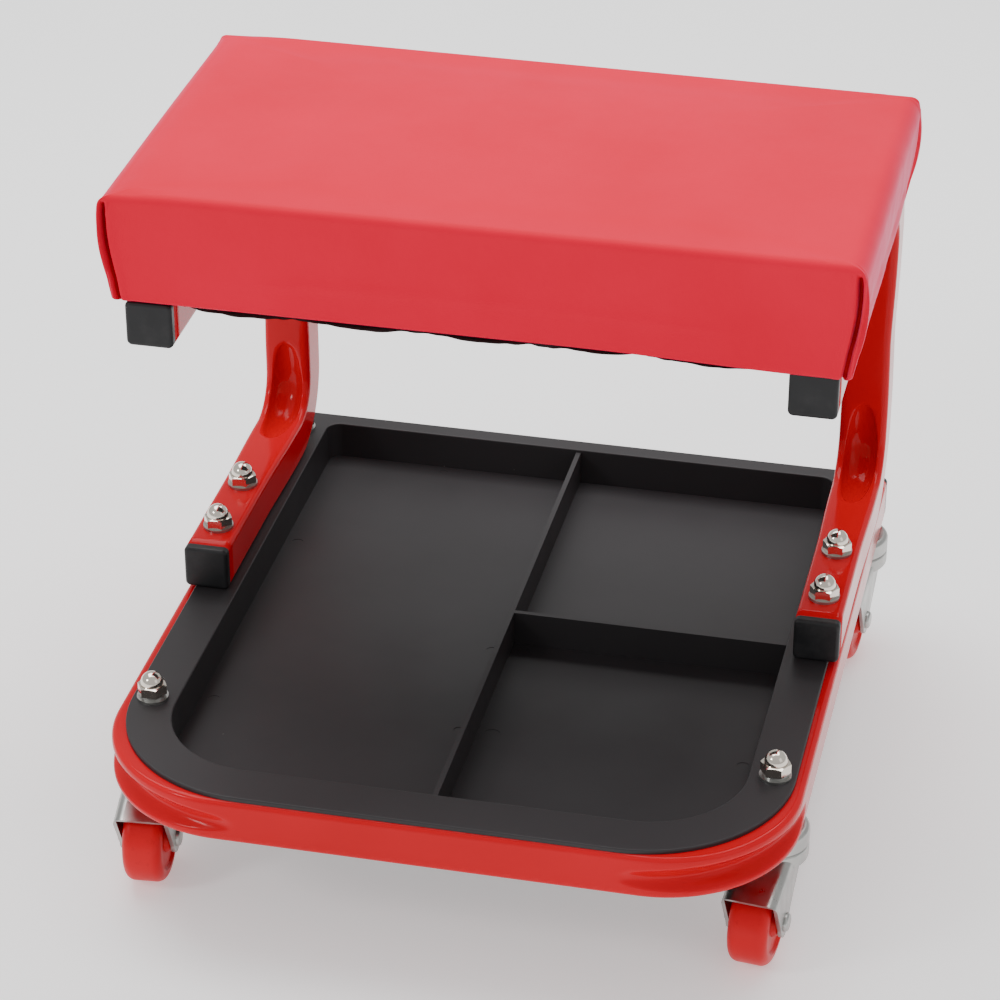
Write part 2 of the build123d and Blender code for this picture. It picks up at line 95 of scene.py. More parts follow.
# ---- materials ----------------------------------------------------------------------------
class Shader:
    """A Principled material with short ways to add the nodes that every finish here needs."""

    def __init__(self, name, **values):
        self.material = bpy.data.materials.new(name)
        self.material.use_nodes = True
        self.tree = self.material.node_tree
        self.bsdf = self.tree.nodes["Principled BSDF"]
        self.coords = self.add("ShaderNodeTexCoord").outputs["Object"]
        for socket, value in values.items():
            self.bsdf.inputs[socket.replace("_", " ")].default_value = value

    def add(self, kind, **settings):
        node = self.tree.nodes.new(kind)
        for key, value in settings.items():
            if key in node.inputs:
                node.inputs[key].default_value = value
            else:
                setattr(node, key, value)
        return node

    def link(self, source, target):
        self.tree.links.new(source, target)

    def noise(self, scale, detail=3.0, roughness=0.5, distortion=0.0, stretch=None):
        node = self.add("ShaderNodeTexNoise", Scale=scale, Detail=detail, Roughness=roughness)
        node.inputs["Distortion"].default_value = distortion
        self.link(self.stretched(stretch), node.inputs["Vector"])
        return node.outputs["Fac"]

    def cells(self, scale, feature="F1", stretch=None):
        node = self.add("ShaderNodeTexVoronoi", Scale=scale, feature=feature)
        self.link(self.stretched(stretch), node.inputs["Vector"])
        return node.outputs["Distance"]

    def stretched(self, stretch):
        if stretch is None:
            return self.coords
        mapping = self.add("ShaderNodeMapping")
        mapping.inputs["Scale"].default_value = stretch
        self.link(self.coords, mapping.inputs["Vector"])
        return mapping.outputs["Vector"]

    def remap(self, source, low, high, to_low=0.0, to_high=1.0):
        node = self.add("ShaderNodeMapRange")
        names = ("From Min", "From Max", "To Min", "To Max")
        for socket, value in zip(names, (low, high, to_low, to_high)):
            node.inputs[socket].default_value = value
        self.link(source, node.inputs["Value"])
        return node.outputs["Result"]

    def mix(self, factor, first, second):
        """Colour mix. Each of first and second is a colour or a socket."""
        node = self.add("ShaderNodeMix", data_type="RGBA")
        self.link(factor, node.inputs["Factor"])
        for socket, value in ((node.inputs[6], first), (node.inputs[7], second)):
            if isinstance(value, tuple):
                socket.default_value = (*value, 1.0)
            else:
                self.link(value, socket)
        return node.outputs[2]

    def maths(self, operation, first, second):
        node = self.add("ShaderNodeMath", operation=operation)
        self.link(first, node.inputs[0])
        if isinstance(second, float):
            node.inputs[1].default_value = second
        else:
            self.link(second, node.inputs[1])
        return node.outputs[0]

    def colour(self, source):
        self.link(source, self.bsdf.inputs["Base Color"])

    def rough(self, source):
        self.link(source, self.bsdf.inputs["Roughness"])

    def bump(self, height, distance, strength=1.0):
        """Bumps add up: each one takes the last as its normal."""
        node = self.add("ShaderNodeBump", Strength=strength, Distance=distance)
        self.link(height, node.inputs["Height"])
        normal = self.bsdf.inputs["Normal"]
        if normal.is_linked:
            self.link(normal.links[0].from_socket, node.inputs["Normal"])
        self.link(node.outputs["Normal"], normal)


def red_paint():
    """Glossy powder coat: orange peel, faint shade changes, a few tiny scuffs."""
    s = Shader("red_powder_coat", Roughness=0.11, Specular_IOR_Level=0.14)
    shade = s.remap(s.noise(9.0, 2.0), 0.35, 0.7)
    red = s.mix(shade, (0.55, 0.003, 0.009), (0.62, 0.004, 0.013))
    scuff = s.remap(s.noise(55.0, 8.0, 0.75, stretch=(1.0, 0.35, 1.0)), 0.70, 0.76)
    s.colour(s.mix(scuff, red, (0.72, 0.03, 0.025)))
    s.rough(s.remap(s.noise(28.0, 4.0), 0.3, 0.75, 0.08, 0.17))
    s.bump(s.noise(420.0, 2.0), 0.00006, 0.35)
    return s.material


def tray_plastic():
    """Matte moulded polypropylene: fine grain, specks of dust, light drag marks."""
    s = Shader("black_moulded_plastic", Roughness=0.45, Specular_IOR_Level=0.34)
    shade = s.remap(s.noise(5.0, 3.0), 0.3, 0.7)
    black = s.mix(shade, (0.019, 0.017, 0.018), (0.027, 0.024, 0.026))
    speck = s.remap(s.cells(95.0), 0.055, 0.03)
    rare = s.remap(s.noise(38.0, 1.0), 0.60, 0.66)
    dusty = s.mix(s.maths("MULTIPLY", speck, rare), black, (0.09, 0.085, 0.08))
    drag = s.remap(s.noise(26.0, 9.0, 0.8, 0.6, stretch=(1.0, 0.12, 1.0)), 0.69, 0.74)
    s.colour(s.mix(drag, dusty, (0.045, 0.042, 0.044)))
    s.rough(s.remap(s.noise(16.0, 5.0), 0.3, 0.7, 0.40, 0.52))
    s.bump(s.noise(1500.0, 3.0), 0.00005, 0.35)
    return s.material


def cap_plastic():
    """Softer black plastic of the tube plugs, slightly rubbed on its crown."""
    s = Shader("black_plug_plastic", Roughness=0.45, Specular_IOR_Level=0.3)
    rubbed = s.remap(s.noise(60.0, 6.0, 0.7), 0.5, 0.8)
    s.colour(s.mix(rubbed, (0.010, 0.010, 0.011), (0.024, 0.023, 0.024)))
    s.rough(s.remap(s.noise(90.0, 3.0), 0.3, 0.7, 0.38, 0.52))
    s.bump(s.noise(900.0, 2.0), 0.00006, 0.4)
    return s.material


def plated(name, light, dark, roughness, streaks):
    """Plated steel: cloudy plating, faint draw lines and dark pin pricks."""
    s = Shader(name, Metallic=1.0, Roughness=roughness)
    cloud = s.remap(s.noise(70.0, 4.0, 0.6), 0.3, 0.7)
    prick = s.remap(s.cells(900.0), 0.12, 0.05)
    plate = s.mix(cloud, light, dark)
    s.colour(s.mix(s.maths("MULTIPLY", prick, 0.35), plate, (0.25, 0.24, 0.22)))
    s.rough(s.remap(s.noise(140.0, 5.0, stretch=streaks), 0.3, 0.7, roughness * 0.75, roughness * 1.35))
    s.bump(s.noise(260.0, 3.0, stretch=streaks), 0.00003, 0.2)
    return s.material


def wheel_plastic():
    """Satin red moulding: rubbed tread, a little floor dirt in the recesses."""
    s = Shader("red_wheel_plastic", Roughness=0.36, Specular_IOR_Level=0.16)
    dirt = s.remap(s.noise(120.0, 7.0, 0.7), 0.55, 0.78)
    red = s.mix(s.remap(s.noise(30.0), 0.3, 0.7), (0.58, 0.004, 0.010), (0.66, 0.007, 0.014))
    s.colour(s.mix(s.maths("MULTIPLY", dirt, 0.45), red, (0.25, 0.015, 0.012)))
    s.rough(s.remap(s.noise(80.0, 6.0), 0.3, 0.7, 0.3, 0.46))
    s.bump(s.noise(700.0, 3.0), 0.00007, 0.4)
    return s.material


def vinyl(name="red_vinyl", shade=1.0, blue=1.0):
    """Smooth upholstery vinyl: fine grain under a soft sheen. A copy with a lower shade is a darker, purer
    red that paints the shadow deep inside the folds.
    """
    s = Shader(
        name, Roughness=0.40, Specular_IOR_Level=0.04, Sheen_Weight=0.28 * shade, Sheen_Roughness=0.35
    )
    s.bsdf.inputs["Sheen Tint"].default_value = (1.0, 0.38, 0.78, 1.0)
    tone = s.remap(s.noise(12.0, 4.0), 0.3, 0.7)
    dull, bright = (0.73 * shade, 0.003, 0.032 * blue), (0.79 * shade, 0.004, 0.040 * blue)
    s.colour(s.mix(tone, dull, bright))
    s.rough(s.remap(s.noise(60.0, 5.0), 0.3, 0.7, 0.36, 0.48))
    s.bump(s.cells(1500.0, "SMOOTH_F1"), 0.00012, 0.5)
    s.bump(s.noise(260.0, 4.0), 0.00008, 0.4)
    return s.material


def dust_cloth():
    """Non-woven polypropylene: random fibres, pale where they bunch."""
    s = Shader("black_dust_cloth", Roughness=0.95, Sheen_Weight=0.06)
    fibre = s.noise(900.0, 6.0, 0.8, 1.5)
    s.colour(s.mix(s.remap(fibre, 0.35, 0.7), (0.012, 0.012, 0.013), (0.045, 0.043, 0.042)))
    s.bump(fibre, 0.0003, 0.7)
    return s.material


def foam():
    s = Shader("cut_foam", Roughness=0.95)
    s.colour(s.mix(s.cells(700.0), (0.55, 0.47, 0.26), (0.75, 0.68, 0.45)))
    s.bump(s.cells(700.0), 0.0004, 0.8)
    return s.material


def plywood():
    s = Shader("plywood", Roughness=0.7)
    grain = s.noise(30.0, 8.0, 0.7, 0.8, stretch=(0.15, 3.0, 3.0))
    s.colour(s.mix(s.remap(grain, 0.35, 0.65), (0.42, 0.26, 0.13), (0.62, 0.45, 0.27)))
    s.bump(grain, 0.0002, 0.5)
    return s.material


def seal_rubber():
    s = Shader("black_seal", Roughness=0.6)
    s.colour(s.mix(s.noise(200.0), (0.012, 0.012, 0.012), (0.03, 0.03, 0.03)))
    s.bump(s.noise(900.0), 0.00005, 0.4)
    return s.material


MATERIALS = {
    "red_paint": red_paint(),
    "tray_plastic": tray_plastic(),
    "cap_plastic": cap_plastic(),
    "red_vinyl": vinyl(),
    "foam": foam(),
    "plywood": plywood(),
    "dust_cloth": dust_cloth(),
    "zinc_steel": plated("bright_zinc", (0.46, 0.46, 0.44), (0.38, 0.38, 0.37), 0.34, (1, 1, 0.4)),
    "ball_steel": plated("ball_steel", (0.72, 0.72, 0.72), (0.6, 0.6, 0.61), 0.14, (1, 1, 1)),
    "nickel": plated("bright_nickel", (0.78, 0.72, 0.64), (0.66, 0.60, 0.53), 0.13, (1, 1, 0.5)),
    "wheel_plastic": wheel_plastic(),
    "seal_rubber": seal_rubber(),
}


def dress_cad_nodes():
    """Every carried-over CAD node takes the material of its slot."""
    slots = {part["node"]: part["material_slot"] for part in frame["record"]["subparts"]}
    for node, piece in frame["nodes"].items():
        for index in range(len(piece.material_slots)):
            piece.material_slots[index].material = MATERIALS[slots[node]]


# ---- bent square tube ---------------------------------------------------------------------
def tube_section(corner_steps=6, flat_steps=26):
    """Rounded square as (n, b, wall, share): n towards the inside of the bends and b across them.

    wall is 1 on the inner wall, -1 on the outer wall and 0 elsewhere.
    share runs from -1 to 1 over that wall.
    """
    flat = TUBE_HALF - TUBE_CORNER
    points = []
    for quarter in range(4):
        start = quarter * pi / 2
        turn = ((1, 1), (-1, 1), (-1, -1), (1, -1))[quarter]
        for step in range(corner_steps):
            a = start + step / (corner_steps - 1) * pi / 2
            n = turn[0] * flat + TUBE_CORNER * cos(a)
            b = turn[1] * flat + TUBE_CORNER * sin(a)
            points.append((n, b, 0, 0.0))
        after = start + pi / 2
        side = (round(cos(after)), round(sin(after)))
        along = (-side[1], side[0])
        for step in range(1, flat_steps):
            share = -1 + 2 * step / flat_steps
            n = side[0] * TUBE_HALF + along[0] * share * flat
            b = side[1] * TUBE_HALF + along[1] * share * flat
            points.append((n, b, side[0], share * along[1]))
    return points


def spaced(length, coarse, fine, near_start, near_end):
    """Distances along a straight run, close together beside the bends."""
    reach = 34 * MM
    marks = [0.0]
    while marks[-1] < length:
        at = marks[-1]
        close = (near_start and at < reach) or (near_end and at > length - reach - coarse)
        marks.append(at + (fine if close else coarse))
    marks.pop()
    if len(marks) > 1 and length - marks[-1] < fine * 0.5:
        marks.pop()
    return marks


def tube_stations(corners, bend):
    """Stations along the tube: centre, tangent, direction to the bend's inside, distances to each bend."""
    corners = [Vector(c) for c in corners]
    runs = []
    for number in range(1, len(corners) - 1):
        before = (corners[number] - corners[number - 1]).normalized()
        after = (corners[number + 1] - corners[number]).normalized()
        runs.append((corners[number] - before * bend, before, after, corners[number] + after * bend))
    half = bend * pi / 4
    stations = []
    start = corners[0]
    for number, (begin, before, after, end) in enumerate(runs):
        length = (begin - start).length
        for mark in spaced(length, 8 * MM, 1.6 * MM, number > 0, True)[min(number, 1):]:
            near = -(half + length - mark)
            stations.append((start + before * mark, before, after, near, half + mark if number else None))
        steps = max(int(bend * pi / 2 / (1.4 * MM)), 12)
        for step in range(steps + 1):
            a = step / steps * pi / 2
            centre = begin + after * bend
            spot = centre + bend * (before * sin(a) - after * cos(a))
            inward = after * cos(a) - before * sin(a)
            stations.append((spot, before * cos(a) + after * sin(a), inward, bend * (a - pi / 4), None))
        start = end
    last_before, last_after = runs[-1][1], runs[-1][2]
    length = (corners[-1] - start).length
    for mark in spaced(length, 8 * MM, 1.6 * MM, True, False)[1:] + [length]:
        stations.append((start + last_after * mark, last_after, -last_before, half + mark, None))
    return stations


def sunk_wall(share, near, dent):
    """(b, depth) of a point of a sunk wall: a lens-shaped dent, or a trough if there is no half width."""
    flat = TUBE_HALF - TUBE_CORNER
    if dent is None:
        return share * flat, 0.0
    depth, half_length, half_width, along_power, across_power = dent
    rest = max(1 - (near / half_length) ** 2, 0.0)
    if half_width is None:
        side = share + TROUGH_LOW
        reach = 0.85 + TROUGH_LOW if side > 0 else 0.88 - TROUGH_LOW
        across = min(abs(side) / reach / max(rest ** 0.35, 0.45), 1.0)
        return share * flat, depth * rest ** along_power * (1 - across ** 2) ** across_power
    width = max(half_width * rest ** 0.36, 0.18 * flat)
    rim = 0.82
    if abs(share) > rim:
        b = width + (abs(share) - rim) / (1 - rim) * (flat - width)
        return (b if share > 0 else -b), 0.0
    across = share / rim
    return across * width, depth * rest ** along_power * (1 - across ** 2) ** across_power


def bent_tube(name, corners, bend, inner_dent, outer_dent, node, bulge=0.0):
    """Square tube whose walls have sunk in the bends and whose sides bulge there.

    A dent is (depth, half length, half width, power along, power across).
    With no half width it is a smooth trough over the whole wall.
    """
    section = tube_section()
    stations = tube_stations(corners, bend)
    verts = []
    for centre, tangent, inward, near, other in stations:
        across = tangent.cross(inward)
        place = near if other is None or abs(near) < abs(other) else other
        widened = 1 + bulge * smooth_step(1.6 * (1 - abs(place) / BULGE_REACH))
        for n, b, wall, share in section:
            if wall:
                b, depth = sunk_wall(share, place, inner_dent if wall > 0 else outer_dent)
                n -= wall * depth
            verts.append(centre + inward * n + across * b * widened)
    ring = len(section)
    faces = []
    for station in range(len(stations) - 1):
        for k in range(ring):
            a = station * ring + k
            b = station * ring + (k + 1) % ring
            faces.append((a, b, b + ring, a + ring))
    faces.append(tuple(range(ring))[::-1])
    faces.append(tuple((len(stations) - 1) * ring + k for k in range(ring)))
    tube = mesh_object(name, verts, faces)
    finish_piece(tube, MATERIALS["red_paint"], [node])
    return tube


def base_tube():
    low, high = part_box("base_frame")
    x = high[0] - TUBE_HALF
    z = (low[2] + high[2]) / 2
    front = low[1] + TUBE_HALF
    corners = [(-x, high[1], z), (-x, front, z), (x, front, z), (x, high[1], z)]
    groove = (7.4 * MM, 58 * MM, None, 0.9, 1.5)
    bent_tube("base_tube", corners, BASE_BEND, None, groove, "base_frame")


def leg_tube(side):
    low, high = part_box(f"{side}_leg")
    x = (low[0] + high[0]) / 2
    upper_end = low[1]
    lower_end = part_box(f"{side}_leg_foot_cap")[0][1] + CAP_HEAD
    upright = high[1] - TUBE_HALF
    bottom = low[2] + TUBE_HALF
    top = high[2] - TUBE_HALF
    corners = [(x, lower_end, bottom), (x, upright, bottom), (x, upright, top), (x, upper_end, top)]
    dish = (7.5 * MM, 46 * MM, 8.9 * MM, 0.55, 0.6)
    hollow = (2.0 * MM, 34 * MM, 9.0 * MM, 1.0, 1.5)
    bent_tube(f"{side}_leg_tube", corners, LEG_BEND, dish, hollow, f"{side}_leg", 0.085)


# ---- seat cushion ---------------------------------------------------------------------
SEAT_LOW, SEAT_HIGH = (Vector(corner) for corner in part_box("seat_cover"))
SEAT_CENTRE = (SEAT_LOW + SEAT_HIGH) / 2
SEAT_HALF = Vector((195.5 * MM, 109.7 * MM))       # at the fullest height
SEAT_RISE = SEAT_HIGH.z
SEAT_FOOT = SEAT_LOW.z + 0.1 * MM
WRAP_RADIUS = 2.4 * MM               # plan radius of the upright corners
SLOT_FROM_END = 4.1 * MM             # where the corner pleat opens on the long faces
SLOT_HALF_WIDTH = 1.35 * MM
HEM_IN = 17 * MM
LONG_LEAN = 0.22                     # the long faces lean in less than the ends
END_EDGE = 10.5 * MM                 # radius of the top edge at the ends
LONG_EDGE = 4.2 * MM                 # and along the long faces
FOOT_EDGE = 2.2 * MM                 # radius where the cover turns under the board
RIGHT_SAG = 2.4 * MM
LEFT_PULL = 1.5 * MM
REAR_LEAN = 2.2 * MM
REAR_DROP = 2.0                      # mm that the rear of the top lies lower
REAR_TWIST = 1.0                     # mm more at the right-hand end, and less at the left
SLOT_DEPTH = 8.0 * MM
SLOT_SHALLOWER = 3.0 * MM            # how much less it is beside the board
TOP_SWELL = 0.4                      # share of the simulated swell that the top takes
SWELL_LIMIT = 2.2 * MM
SWELL_REACH = 14 * MM
STRETCH_LIMIT = 5 * MM
CORNER_SIGNS = ((-1, -1), (1, -1), (1, 1), (-1, 1))


def perimeter():
    """Points round the seat in plan: (x, y, outward x, outward y), close together at the pleats."""
    points = []
    hx, hy, r = SEAT_HALF.x, SEAT_HALF.y, WRAP_RADIUS

    def run(length, fine_ends):
        marks, at = [], 0.0
        while at < length:
            marks.append(at)
            edge = min(at, length - at)
            at += 0.3 * MM if edge < fine_ends else min(0.3 * MM + (edge - fine_ends) * 0.25, 4.5 * MM)
        return marks

    long_run = 2 * (hx - r)
    short_run = 2 * (hy - r)
    for number, (sx, sy) in enumerate(CORNER_SIGNS):
        along = ((1, 0), (0, 1), (-1, 0), (0, -1))[number]
        out = (along[1], -along[0])
        length = long_run if number % 2 == 0 else short_run
        start = (sx * (hx if number % 2 else hx - r), sy * (hy - r if number % 2 else hy))
        for mark in run(length, 7 * MM if number % 2 == 0 else 2 * MM):
            x = start[0] + along[0] * mark
            y = start[1] + along[1] * mark
            points.append((x, y, out[0], out[1]))
        turn = CORNER_SIGNS[(number + 1) % 4]
        cx, cy = turn[0] * (hx - r), turn[1] * (hy - r)
        steps = 16
        for step in range(steps):
            a = step / steps * pi / 2
            nx = out[0] * cos(a) + along[0] * sin(a)
            ny = out[1] * cos(a) + along[1] * sin(a)
            points.append((cx + nx * r, cy + ny * r, nx, ny))
    return points


def side_profile():
    """Steps down the side of the seat, top edge first: (part, angle or share of it)."""
    steps = []
    for step in range(9):
        a = step / 8 * pi / 2
        steps.append(("edge", a))
    for step in range(1, 25):
        steps.append(("wall", step / 24))
    for step in range(1, 6):
        steps.append(("turn", step / 5 * pi / 2))
    for step in range(1, 9):
        steps.append(("hem", step / 8))
    return steps


def wall_inset(t):
    """How far the wall is drawn in, t of the way down: full below the top, tucked in at the foot."""
    return (4.9 * t ** 1.9 - 1.2 * sin(pi * min(t * 1.25, 1.0))) * MM


def ripple(x, y, side):
    """Small standing folds in the ends, where the vinyl was pulled round the corners."""
    near = exp(-max(SEAT_HALF.y - abs(y), 0) / (30 * MM))
    return near * (0.35 * sin(y / (1.9 * MM) + side) + 0.3 * sin(y / (3.3 * MM) + 2 * side)) * MM


def drawn_in(x, y, inset_x, inset_y, z):
    """A rim point moved in towards the middle by an inset for each direction."""
    return Vector((x * (1 - inset_x / SEAT_HALF.x), y * (1 - inset_y / SEAT_HALF.y), z))


def hang(x, z):
    """The cover hangs a little lower at the right-hand end, and its left-hand corners are pulled down."""
    low = smooth_step((SEAT_RISE - z) / (SEAT_RISE - SEAT_FOOT))
    sagging = smooth_step((x - 50 * MM) / (120 * MM)) * low
    pulled = smooth_step((-x - 150 * MM) / (44 * MM)) * (1 - low)
    return -RIGHT_SAG * sagging - LEFT_PULL * pulled


def seat_point(x, y, nx, ny, kind, t):
    """Point and outward normal of the stuffed cover before the pleats are folded in."""
    edge = LONG_EDGE * ny ** 2 + END_EDGE * (1 - ny ** 2)
    span = SEAT_RISE - edge - SEAT_FOOT - FOOT_EDGE
    if kind == "edge":
        turned = 1 - sin(t)
        spot = drawn_in(x, y, END_EDGE * turned, LONG_EDGE * turned, SEAT_RISE - edge * (1 - cos(t)))
        tilt = (sin(t), cos(t))
    elif kind == "wall":
        spot = drawn_in(x, y, wall_inset(t), LONG_LEAN * wall_inset(t), SEAT_RISE - edge - span * t)
        tilt = (1.0, 0.0)
    elif kind == "turn":
        inset = FOOT_EDGE * (1 - cos(t))
        z = SEAT_FOOT + FOOT_EDGE - FOOT_EDGE * sin(t)
        spot = drawn_in(x, y, wall_inset(1.0) + inset, LONG_LEAN * wall_inset(1.0) + inset, z)
        tilt = (cos(t), -sin(t))
    else:
        inset = FOOT_EDGE + HEM_IN * t
        spot = drawn_in(x, y, wall_inset(1.0) + inset, LONG_LEAN * wall_inset(1.0) + inset, SEAT_FOOT)
        tilt = (0.0, -1.0)
    spot.z += hang(spot.x, spot.z) * (0.0 if kind == "hem" else 1.0)
    return spot, Vector((nx * tilt[0], ny * tilt[0], tilt[1]))


def pleat(rim_x, z):
    """Push along a long face's normal at the upright fold beside each corner, and how far into the fold."""
    drop = min(max((SEAT_RISE - z) / (SEAT_RISE - SEAT_FOOT), 0.0), 1.0)
    from_end = SEAT_HALF.x - abs(rim_x)
    opened = smooth_step((drop - 0.07) / 0.10)
    depth = SLOT_DEPTH - SLOT_SHALLOWER * smooth_step((drop - 0.62) / 0.14)
    slot = exp(-((from_end - SLOT_FROM_END) / SLOT_HALF_WIDTH) ** 4) * opened
    lobe = exp(-((from_end - 1.6 * MM) / (1.5 * MM)) ** 2) * opened * sin(pi * (0.15 + 0.75 * drop))
    shoulder = exp(-((from_end - SLOT_FROM_END - 3.2 * MM) / (2.4 * MM)) ** 2) * opened
    return -depth * slot + 1.3 * MM * lobe + 0.5 * MM * shoulder, slot


def stuffed():
    """The cover blown up over its padding by cloth simulation, as a lookup tree."""
    inset = 2.0 * MM
    low = Vector((-SEAT_HALF.x, -SEAT_HALF.y)) + Vector((inset, inset))
    made = bmesh.new()
    levels = (
        (SEAT_FOOT, 5.5 * MM),
        (SEAT_RISE - 26 * MM, 0.5 * MM),
        (SEAT_RISE - 7 * MM, 0.0),
        (SEAT_RISE - 1.5 * MM, 5.5 * MM),
    )
    rings = []
    for z, back in levels:
        x, y = -low.x - back, -low.y - back
        rings.append([made.verts.new((sx * x, SEAT_CENTRE.y + sy * y, z)) for sx, sy in CORNER_SIGNS])
    for lower, upper in zip(rings, rings[1:]):
        for k in range(4):
            made.faces.new((lower[k], lower[(k + 1) % 4], upper[(k + 1) % 4], upper[k]))
    made.faces.new(rings[0][::-1])
    made.faces.new(rings[-1])
    mesh = bpy.data.meshes.new("stuffing")
    made.to_mesh(mesh)
    body = bpy.data.objects.new("stuffing", mesh)
    bpy.context.scene.collection.objects.link(body)
    bpy.context.view_layer.objects.active = body
    remesh = body.modifiers.new("remesh", "REMESH")
    remesh.mode = "VOXEL"
    remesh.voxel_size = 5 * MM
    bpy.ops.object.modifier_apply(modifier="remesh")
    start = [v.co.copy() for v in body.data.vertices]
    pinned = body.vertex_groups.new(name="pinned")
    for v in body.data.vertices:
        pinned.add([v.index], smooth_step((SEAT_FOOT + 14 * MM - v.co.z) / (12 * MM)), "ADD")
    cloth = body.modifiers.new("cloth", "CLOTH")
    cloth.settings.use_pressure = True
    cloth.settings.uniform_pressure_force = 4
    cloth.settings.vertex_group_mass = "pinned"
    cloth.settings.effector_weights.gravity = 0
    cloth.settings.tension_stiffness = 40
    cloth.settings.compression_stiffness = 40
    scene = bpy.context.scene
    for number in range(1, 21):
        scene.frame_set(number)
    bpy.ops.object.modifier_apply(modifier="cloth")
    for v, origin in zip(body.data.vertices, start):
        move = v.co - origin
        if move.length > 0:
            v.co = origin + move * min(1.0, STRETCH_LIMIT / move.length)
    scene.frame_set(1)
    smoothed = body.modifiers.new("smooth", "SMOOTH")
    smoothed.factor = 0.5
    smoothed.iterations = 4
    bpy.ops.object.modifier_apply(modifier="smooth")
    spots = [v.co.copy() for v in body.data.vertices]
    tree = BVHTree.FromPolygons(spots, [tuple(p.vertices) for p in body.data.polygons])
    bpy.data.objects.remove(body)
    return tree


def settled(spot):
    """The top slopes down a little to the rear, more at its right-hand end, and the rear face leans in."""
    back = smooth_step((spot.y - SEAT_CENTRE.y) / SEAT_HALF.y)
    high = min(max((spot.z - SEAT_FOOT) / (SEAT_RISE - SEAT_FOOT), 0.0), 1.0)
    drop = (REAR_DROP + REAR_TWIST * spot.x / SEAT_HALF.x) * MM
    return spot - Vector((0, REAR_LEAN, drop)) * back * high


def swell(tree, spot, normal):
    """How far the simulated cover stands off the plain form there."""
    if tree is None:
        return 0.0
    hit = tree.ray_cast(spot - normal * SWELL_REACH, normal, 2 * SWELL_REACH)[0]
    if hit is None:
        return 0.0
    return min(max((hit - spot).dot(normal), -SWELL_LIMIT), SWELL_LIMIT)


def cushion():
    """Vinyl cover over its foam: rings over the top, down the sides and under the board, with pleats."""
    tree = stuffed()
    rim = perimeter()
    verts, folded, faces = [], [], []
    shift = Vector((0, SEAT_CENTRE.y, 0))
    up = Vector((0, 0, 1))
    inner_rings = 26
    for ring in range(inner_rings):
        share = (ring + 0.35) / inner_rings
        firm = 1 - 0.85 * smooth_step((share - 0.42) / 0.5)      # the top is flatter near its edges
        for x, y, nx, ny in rim:
            edge_spot = seat_point(x, y, nx, ny, "edge", 0.0)[0]
            spot = Vector((edge_spot.x * share ** 0.85, edge_spot.y * share ** 0.85, SEAT_RISE)) + shift
            verts.append(settled(spot + up * TOP_SWELL * firm * swell(tree, spot, up)))
            folded.append(0.0)
    for kind, t in side_profile():
        for x, y, nx, ny in rim:
            spot, normal = seat_point(x, y, nx, ny, kind, t)
            spot += shift
            push = 0.0
            if kind == "wall":
                push = swell(tree, spot, normal) * (0.15 + 0.6 * sin(pi * t))
                within = smooth_step(t / 0.2) * (1 - smooth_step((t - 0.6) / 0.4))
                push += ripple(x, y, nx) * (1 - abs(ny) ** 3) * within
            elif kind == "edge":
                push = 0.09 * swell(tree, spot, normal)
            elif kind == "hem":
                spot.z += 0.5 * MM * sin(spot.x / (4.1 * MM) + spot.y / (3.7 * MM)) * sin(pi * t)
            spot = spot + normal * push
            fold, slot = pleat(x, spot.z)
            on_face = smooth_step((abs(ny) - 0.3) / 0.5) * (1 - t if kind == "hem" else 1.0)
            verts.append(settled(spot + Vector((0, 1 if ny > 0 else -1, 0)) * fold * on_face))
            # how far each point lies inside a pleat's slot; it picks the faces that get the painted fold
            # shade
            folded.append(slot * on_face)
    count = len(rim)
    for ring in range(inner_rings + len(side_profile()) - 1):
        for k in range(count):
            a, b = ring * count + k, ring * count + (k + 1) % count
            faces.append((a, a + count, b + count, b))
    faces.append(tuple(range(count)))
    piece = mesh_object("seat_cushion", verts, faces)
    finish_piece(piece, MATERIALS["red_vinyl"], ["seat_cover", "seat_foam"])
    # painted shade: faces deep in the corner pleats take a darker, purer red vinyl copy that stands in for
    # the shadow inside the fold
    piece.data.materials.append(vinyl("red_vinyl_painted_fold_shade", 0.75, 0.2))
    for face in piece.data.polygons:
        if sum(folded[v] for v in face.vertices) / len(face.vertices) > 0.55:
            face.material_index = 1
    return piece


# ---- dust cover and staples under the seat --------------------------------------------
COVER_HALF = Vector((184 * MM, 104 * MM))
STAPLE_X = (-148, -92, -31, 33, 88, 150)


